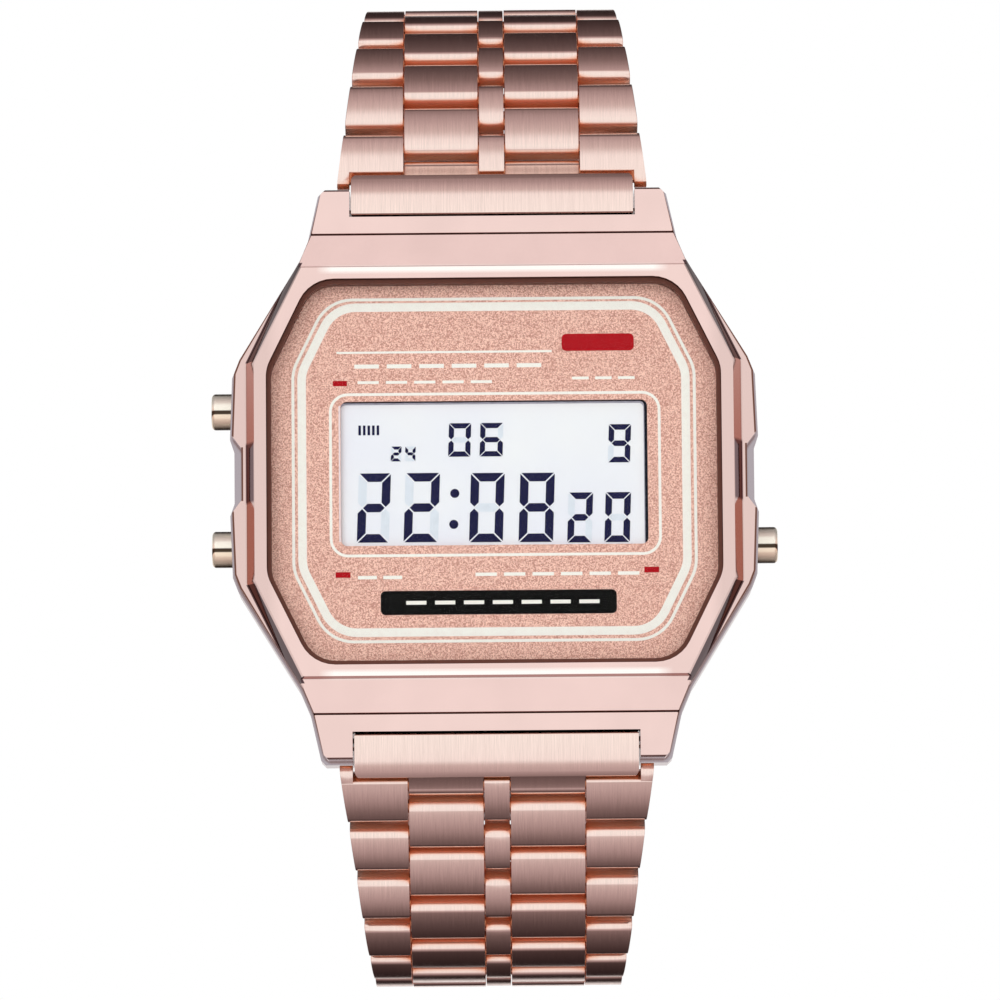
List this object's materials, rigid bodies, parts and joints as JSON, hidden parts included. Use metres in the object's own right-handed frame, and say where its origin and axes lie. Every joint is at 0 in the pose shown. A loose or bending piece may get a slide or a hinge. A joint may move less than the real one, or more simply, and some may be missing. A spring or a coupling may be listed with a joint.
{
  "type": "digital wrist watch on a link bracelet",
  "caption": "Octagonal digital wrist watch with side pushers, horned case and a tapering five-row link bracelet closed into a loop by a folding clasp.",
  "frame": {"origin": "centre of the case back's outer face, the face that rests on the wrist", "axes": "+X towards 3 o'clock, +Y from the display out through the case back into the wrist, +Z towards 12 o'clock"},
  "size_m": [0.0362, 0.0462, 0.0643],
  "materials": {
    "rose_polished": "mirror polished, rose gold plated",
    "rose_brushed": "finely brushed, rose gold plated",
    "gold_polished": "polished, pale gold plated",
    "steel": "bare stainless steel",
    "crystal_glass": "polished clear mineral glass",
    "sparkle_plate": "copper-pink metallic lacquer",
    "display_glass": "polarised display glass",
    "white_plastic": "clear white light pipe",
    "rubber_black": "moulded",
    "module_plastic": "moulded",
    "board_green": "solder mask",
    "chip_black": "potting compound",
    "contact_gold": "gold flashed",
    "film_amber": "thin film"
  },
  "bodies": {
    "case": {"case_shell": "rose_polished", "crystal": "crystal_glass", "crystal_gasket": "rubber_black", "face_plate": "sparkle_plate", "lcd_glass": "display_glass", "light_guide": "white_plastic", "contact_strips": "rubber_black", "module_frame": "module_plastic", "circuit_board": "board_green", "board_parts": "chip_black", "battery": "steel", "battery_clip": "steel", "button_contacts": "contact_gold", "insulator_film": "film_amber", "piezo_disc": "contact_gold", "buzzer_spring": "contact_gold", "back_gasket": "rubber_black", "case_back": "steel", "case_back_screws": "steel", "button_seals": "rubber_black", "return_spring_upper_left": "steel", "return_spring_lower_left": "steel", "return_spring_lower_right": "steel", "spring_bar_12": "steel", "spring_bar_6": "steel"},
    "end_link_12": {"end_link_12": "rose_polished"},
    "end_link_6": {"end_link_6": "rose_polished"},
    "link_12_01": {"link_12_01": "rose_brushed"},
    "link_12_02": {"link_12_02": "rose_brushed"},
    "link_12_03": {"link_12_03": "rose_brushed"},
    "link_12_04": {"link_12_04": "rose_brushed"},
    "link_12_05": {"link_12_05": "rose_brushed"},
    "link_12_06": {"link_12_06": "rose_brushed"},
    "link_12_07": {"link_12_07": "rose_brushed"},
    "link_12_08": {"link_12_08": "rose_brushed"},
    "link_12_09": {"link_12_09": "rose_brushed"},
    "link_12_10": {"link_12_10": "rose_brushed"},
    "link_12_11": {"link_12_11": "rose_brushed"},
    "link_12_12": {"link_12_12": "rose_brushed"},
    "link_6_01": {"link_6_01": "rose_brushed"},
    "link_6_02": {"link_6_02": "rose_brushed"},
    "link_6_03": {"link_6_03": "rose_brushed"},
    "link_6_04": {"link_6_04": "rose_brushed"},
    "link_6_05": {"link_6_05": "rose_brushed"},
    "link_6_06": {"link_6_06": "rose_brushed"},
    "link_6_07": {"link_6_07": "rose_brushed"},
    "link_6_08": {"link_6_08": "rose_brushed"},
    "link_6_09": {"link_6_09": "rose_brushed"},
    "link_6_10": {"link_6_10": "rose_brushed"},
    "link_6_11": {"link_6_11": "rose_brushed"},
    "link_6_12": {"link_6_12": "rose_brushed"},
    "clasp_cover": {"clasp_cover": "rose_polished"},
    "clasp_middle_blade": {"clasp_middle_blade": "steel", "clasp_hinge_pins": "steel"},
    "clasp_inner_blade": {"clasp_inner_blade": "steel", "clasp_spring_bar": "steel"},
    "button_upper_left": {"button_upper_left": "gold_polished"},
    "button_lower_left": {"button_lower_left": "gold_polished"},
    "button_lower_right": {"button_lower_right": "gold_polished"}
  },
  "joints": [
    {"name": "end_link_12_play", "type": "hinge", "parent": "case", "child": "end_link_12", "pos_m": [0, -0.0034, 0.017], "axis": [1, 0, 0], "range_deg": [0, 2]},
    {"name": "hinge_12_01", "type": "hinge", "parent": "end_link_12", "child": "link_12_01", "pos_m": [0, -0.00435, 0.0196], "axis": [1, 0, 0], "range_deg": [0, 5]},
    {"name": "hinge_12_02", "type": "hinge", "parent": "link_12_01", "child": "link_12_02", "pos_m": [0, -0.00375, 0.02124], "axis": [1, 0, 0], "range_deg": [0, 9]},
    {"name": "hinge_12_03", "type": "hinge", "parent": "link_12_02", "child": "link_12_03", "pos_m": [0, -0.00209, 0.02466], "axis": [1, 0, 0], "range_deg": [0, 18.5]},
    {"name": "hinge_12_04", "type": "hinge", "parent": "link_12_03", "child": "link_12_04", "pos_m": [0, 0.00043, 0.0275], "axis": [1, 0, 0], "range_deg": [0, 14.5]},
    {"name": "hinge_12_05", "type": "hinge", "parent": "link_12_04", "child": "link_12_05", "pos_m": [0, 0.00347, 0.02979], "axis": [1, 0, 0], "range_deg": [0, 20]},
    {"name": "hinge_12_06", "type": "hinge", "parent": "link_12_05", "child": "link_12_06", "pos_m": [0, 0.00704, 0.03109], "axis": [1, 0, 0], "range_deg": [0, 18.5]},
    {"name": "hinge_12_07", "type": "hinge", "parent": "link_12_06", "child": "link_12_07", "pos_m": [0, 0.01083, 0.03139], "axis": [1, 0, 0], "range_deg": [0, 16.5]},
    {"name": "hinge_12_08", "type": "hinge", "parent": "link_12_07", "child": "link_12_08", "pos_m": [0, 0.01458, 0.03079], "axis": [1, 0, 0], "range_deg": [0, 14.5]},
    {"name": "hinge_12_09", "type": "hinge", "parent": "link_12_08", "child": "link_12_09", "pos_m": [0, 0.01814, 0.02946], "axis": [1, 0, 0], "range_deg": [0, 13]},
    {"name": "hinge_12_10", "type": "hinge", "parent": "link_12_09", "child": "link_12_10", "pos_m": [0, 0.02141, 0.02753], "axis": [1, 0, 0], "range_deg": [0, 11]},
    {"name": "hinge_12_11", "type": "hinge", "parent": "link_12_10", "child": "link_12_11", "pos_m": [0, 0.02439, 0.02517], "axis": [1, 0, 0], "range_deg": [0, 9.5]},
    {"name": "hinge_12_12", "type": "hinge", "parent": "link_12_11", "child": "link_12_12", "pos_m": [0, 0.02707, 0.02248], "axis": [1, 0, 0], "range_deg": [0, 8.5]},
    {"name": "end_link_6_play", "type": "hinge", "parent": "case", "child": "end_link_6", "pos_m": [0, -0.0034, -0.017], "axis": [-1, 0, 0], "range_deg": [0, 2]},
    {"name": "hinge_6_01", "type": "hinge", "parent": "end_link_6", "child": "link_6_01", "pos_m": [0, -0.00435, -0.0196], "axis": [-1, 0, 0], "range_deg": [0, 5]},
    {"name": "hinge_6_02", "type": "hinge", "parent": "link_6_01", "child": "link_6_02", "pos_m": [0, -0.0032, -0.02092], "axis": [-1, 0, 0], "range_deg": [0, 1.5]},
    {"name": "hinge_6_03", "type": "hinge", "parent": "link_6_02", "child": "link_6_03", "pos_m": [0, -0.00079, -0.02385], "axis": [-1, 0, 0], "range_deg": [0, 3]},
    {"name": "hinge_6_04", "type": "hinge", "parent": "link_6_03", "child": "link_6_04", "pos_m": [0, 0.00163, -0.02678], "axis": [-1, 0, 0], "range_deg": [0, 19]},
    {"name": "hinge_6_05", "type": "hinge", "parent": "link_6_04", "child": "link_6_05", "pos_m": [0, 0.00476, -0.02894], "axis": [-1, 0, 0], "range_deg": [0, 18]},
    {"name": "hinge_6_06", "type": "hinge", "parent": "link_6_05", "child": "link_6_06", "pos_m": [0, 0.00834, -0.0302], "axis": [-1, 0, 0], "range_deg": [0, 17.5]},
    {"name": "hinge_6_07", "type": "hinge", "parent": "link_6_06", "child": "link_6_07", "pos_m": [0, 0.01213, -0.03054], "axis": [-1, 0, 0], "range_deg": [0, 12.95]},
    {"name": "hinge_6_08", "type": "hinge", "parent": "link_6_07", "child": "link_6_08", "pos_m": [0, 0.01592, -0.03021], "axis": [-1, 0, 0], "range_deg": [0, 12.45]},
    {"name": "hinge_6_09", "type": "hinge", "parent": "link_6_08", "child": "link_6_09", "pos_m": [0, 0.0196, -0.02926], "axis": [-1, 0, 0], "range_deg": [0, 11.45]},
    {"name": "hinge_6_10", "type": "hinge", "parent": "link_6_09", "child": "link_6_10", "pos_m": [0, 0.0231, -0.02779], "axis": [-1, 0, 0], "range_deg": [0, 10.45]},
    {"name": "hinge_6_11", "type": "hinge", "parent": "link_6_10", "child": "link_6_11", "pos_m": [0, 0.02638, -0.02587], "axis": [-1, 0, 0], "range_deg": [0, 22.74]},
    {"name": "hinge_6_12", "type": "hinge", "parent": "link_6_11", "child": "link_6_12", "pos_m": [0, 0.02882, -0.02296], "axis": [-1, 0, 0], "range_deg": [0, 13.48]},
    {"name": "clasp_cover_hinge", "type": "hinge", "parent": "link_12_12", "child": "clasp_cover", "pos_m": [0, 0.02949, 0.01955], "axis": [1, 0, 0], "range_deg": [0, 8.1]},
    {"name": "clasp_blade_hinge", "type": "hinge", "parent": "clasp_cover", "child": "clasp_middle_blade", "pos_m": [0, 0.03343, -0.01865], "axis": [1, 0, 0], "range_deg": [0, 38]},
    {"name": "clasp_fold_hinge", "type": "hinge", "parent": "clasp_middle_blade", "child": "clasp_inner_blade", "pos_m": [0, 0.03094, 0.01647], "axis": [-1, 0, 0], "range_deg": [0, 36]},
    {"name": "press_upper_left", "type": "slide", "parent": "case", "child": "button_upper_left", "axis": [1, 0, 0], "range_m": [0, 0.0007], "stiffness_N_per_m": 1200, "springref_m": -0.0004, "deforming": ["return_spring_upper_left"]},
    {"name": "press_lower_left", "type": "slide", "parent": "case", "child": "button_lower_left", "axis": [1, 0, 0], "range_m": [0, 0.0007], "stiffness_N_per_m": 1200, "springref_m": -0.0004, "deforming": ["return_spring_lower_left"]},
    {"name": "press_lower_right", "type": "slide", "parent": "case", "child": "button_lower_right", "axis": [-1, 0, 0], "range_m": [0, 0.0007], "stiffness_N_per_m": 1200, "springref_m": -0.0004, "deforming": ["return_spring_lower_right"]}
  ]
}
